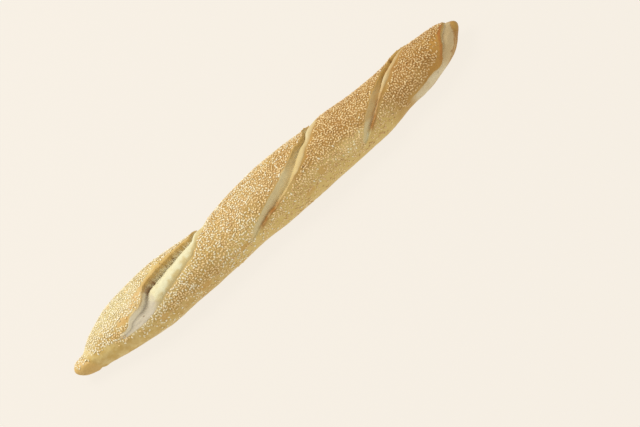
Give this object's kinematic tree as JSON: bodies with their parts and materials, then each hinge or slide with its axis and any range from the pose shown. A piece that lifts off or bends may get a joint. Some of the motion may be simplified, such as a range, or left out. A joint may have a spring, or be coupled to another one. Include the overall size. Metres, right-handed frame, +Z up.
{
  "type": "sesame baguette",
  "caption": "Long hand-shaped white loaf with tapered ends, slanting cuts that opened in baking, and a crust covered in sesame seeds.",
  "frame": {"origin": "on the surface the loaf rests on, under the middle of its box", "axes": "+X along the loaf, from the end with the widest cut to the darker end; +Z up, away from the flat underside; +Y to the side away from the viewer of the cuts"},
  "size_m": [0.54, 0.0716, 0.0526],
  "materials": {
    "crust": "baked crust, pale cream to golden tan, satin where bare and matt with flour in the cuts"
  },
  "bodies": {
    "root": {"loaf": "crust"}
  },
  "joints": []
}
